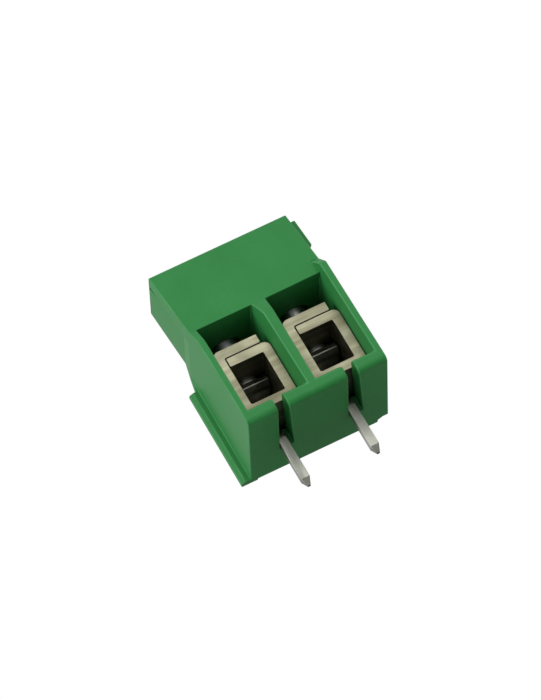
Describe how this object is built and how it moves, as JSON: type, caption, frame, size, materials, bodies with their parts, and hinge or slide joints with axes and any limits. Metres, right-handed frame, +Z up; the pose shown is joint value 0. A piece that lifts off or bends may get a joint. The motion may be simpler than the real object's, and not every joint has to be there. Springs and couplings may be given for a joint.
{
  "type": "pcb screw terminal",
  "caption": "Board-mounted wire terminal with a moulded housing, rising clamp cages turned up by captive slotted screws, and solder pins.",
  "frame": {"origin": "on the board surface, midway between the two solder pins", "axes": "+X along the row of poles, +Y from the wire entries to the back, +Z up away from the board"},
  "size_m": [0.0115, 0.0082, 0.0178],
  "materials": {
    "housing_plastic": "satin moulded polyamide",
    "cage_metal": "dull nickel plating",
    "screw_metal": "zinc plating",
    "pin_metal": "dull tin plating"
  },
  "bodies": {
    "block": {"housing": "housing_plastic", "contact_1": "pin_metal", "contact_2": "pin_metal"},
    "screw_1": {"clamp_screw_1": "screw_metal"},
    "screw_2": {"clamp_screw_2": "screw_metal"},
    "cage_1": {"clamp_cage_1": "cage_metal"},
    "cage_2": {"clamp_cage_2": "cage_metal"}
  },
  "joints": [
    {"name": "cage_1_rise", "type": "slide", "parent": "block", "child": "cage_1", "axis": [0, 0, 1], "range_m": [0, 0.0016]},
    {"name": "screw_1_turn", "type": "hinge", "parent": "block", "child": "screw_1", "pos_m": [-0.00254, 0.00047, 0.0096], "axis": [0, 0, -1], "range_deg": [0, 1441]},
    {"name": "cage_2_rise", "type": "slide", "parent": "block", "child": "cage_2", "axis": [0, 0, 1], "range_m": [0, 0.0016]},
    {"name": "screw_2_turn", "type": "hinge", "parent": "block", "child": "screw_2", "pos_m": [0.00254, 0.00047, 0.0096], "axis": [0, 0, -1], "range_deg": [0, 1441]}
  ],
  "couplings": [
    {"joint": "screw_1_turn", "follows": "cage_1_rise", "rad_per_m": 15708},
    {"joint": "screw_2_turn", "follows": "cage_2_rise", "rad_per_m": 15708}
  ]
}
